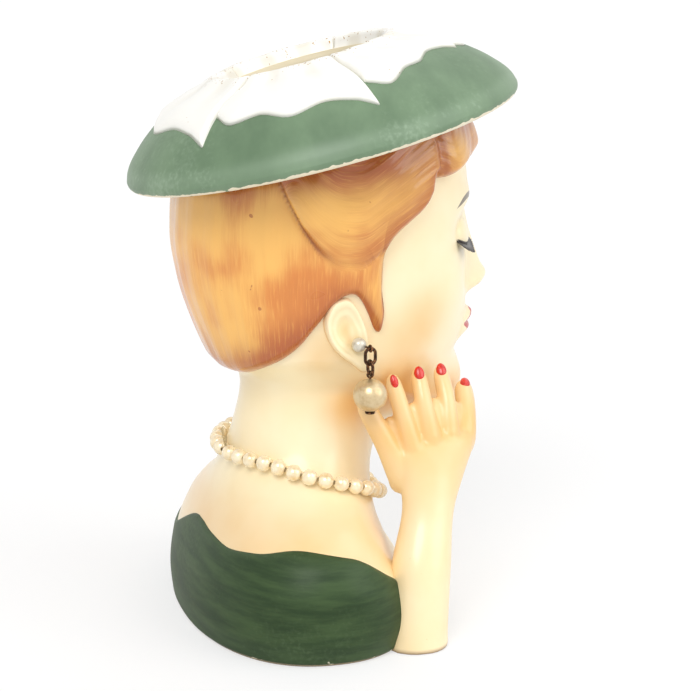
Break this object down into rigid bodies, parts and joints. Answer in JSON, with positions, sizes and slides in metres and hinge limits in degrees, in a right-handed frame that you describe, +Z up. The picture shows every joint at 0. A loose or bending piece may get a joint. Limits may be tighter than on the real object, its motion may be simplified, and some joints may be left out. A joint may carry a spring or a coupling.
{
  "type": "head planter",
  "caption": "Glazed ceramic lady-head planter with an open saucer hat, a raised hand, a pearl necklace and hanging pearl earrings.",
  "frame": {"origin": "on the table under the middle of the planter's overall box", "axes": "+Z up, the face looks to -Y, her right side is -X"},
  "size_m": [0.1006, 0.0978, 0.149],
  "materials": {
    "ivory_glaze": "glossy glazed earthenware, ivory skin with painted hair and dress",
    "green_glaze": "satin glazed earthenware",
    "white_glaze": "glossy glazed earthenware",
    "pearl": "pearlescent lacquer",
    "thread": "matte",
    "aged_metal": "tarnished"
  },
  "bodies": {
    "planter": {"bust_casting": "ivory_glaze", "head_casting": "ivory_glaze", "hat": "green_glaze", "ribbon_1": "white_glaze", "ribbon_2": "white_glaze", "ribbon_3": "white_glaze", "ribbon_4": "white_glaze", "ribbon_5": "white_glaze", "arm": "ivory_glaze", "necklace_thread": "thread", "pearl_01": "pearl", "pearl_02": "pearl", "pearl_03": "pearl", "pearl_04": "pearl", "pearl_05": "pearl", "pearl_06": "pearl", "pearl_07": "pearl", "pearl_08": "pearl", "pearl_09": "pearl", "pearl_10": "pearl", "pearl_11": "pearl", "pearl_12": "pearl", "pearl_13": "pearl", "pearl_14": "pearl", "pearl_15": "pearl", "pearl_16": "pearl", "pearl_17": "pearl", "pearl_18": "pearl", "pearl_19": "pearl", "pearl_20": "pearl", "pearl_21": "pearl", "pearl_22": "pearl", "pearl_23": "pearl", "pearl_24": "pearl", "pearl_25": "pearl", "pearl_26": "pearl", "pearl_27": "pearl", "pearl_28": "pearl", "pearl_29": "pearl", "pearl_30": "pearl", "pearl_31": "pearl", "pearl_32": "pearl", "pearl_33": "pearl", "pearl_34": "pearl", "pearl_35": "pearl", "pearl_36": "pearl", "right_stud_pearl": "pearl", "right_stud_eye": "aged_metal", "left_stud_pearl": "pearl", "left_stud_eye": "aged_metal"},
    "right_upper_link": {"right_upper_link": "aged_metal"},
    "right_lower_link": {"right_lower_link": "aged_metal"},
    "right_drop": {"right_head_pin": "aged_metal", "right_drop_pearl": "pearl"},
    "left_upper_link": {"left_upper_link": "aged_metal"},
    "left_lower_link": {"left_lower_link": "aged_metal"},
    "left_drop": {"left_head_pin": "aged_metal", "left_drop_pearl": "pearl"}
  },
  "joints": [
    {"name": "right_upper_link_swing", "type": "hinge", "parent": "planter", "child": "right_upper_link", "pos_m": [-0.03294, -0.00343, 0.07514], "axis": [-0.9848, -0.1736, 0], "range_deg": [-20, 20]},
    {"name": "right_lower_link_swing", "type": "hinge", "parent": "right_upper_link", "child": "right_lower_link", "pos_m": [-0.03294, -0.00343, 0.07189], "axis": [0.1736, -0.9848, 0], "range_deg": [-20, 12]},
    {"name": "right_drop_swing", "type": "hinge", "parent": "right_lower_link", "child": "right_drop", "pos_m": [-0.03294, -0.00343, 0.06939], "axis": [-0.9848, -0.1736, 0], "range_deg": [-20, 20]},
    {"name": "left_upper_link_swing", "type": "hinge", "parent": "planter", "child": "left_upper_link", "pos_m": [0.03274, -0.00343, 0.07195], "axis": [0.9848, -0.1736, 0], "range_deg": [-20, 20]},
    {"name": "left_lower_link_swing", "type": "hinge", "parent": "left_upper_link", "child": "left_lower_link", "pos_m": [0.03274, -0.00343, 0.0687], "axis": [-0.1736, -0.9848, 0], "range_deg": [-12, 20]},
    {"name": "left_drop_swing", "type": "hinge", "parent": "left_lower_link", "child": "left_drop", "pos_m": [0.03274, -0.00343, 0.0662], "axis": [0.9848, -0.1736, 0], "range_deg": [-20, 20]}
  ]
}
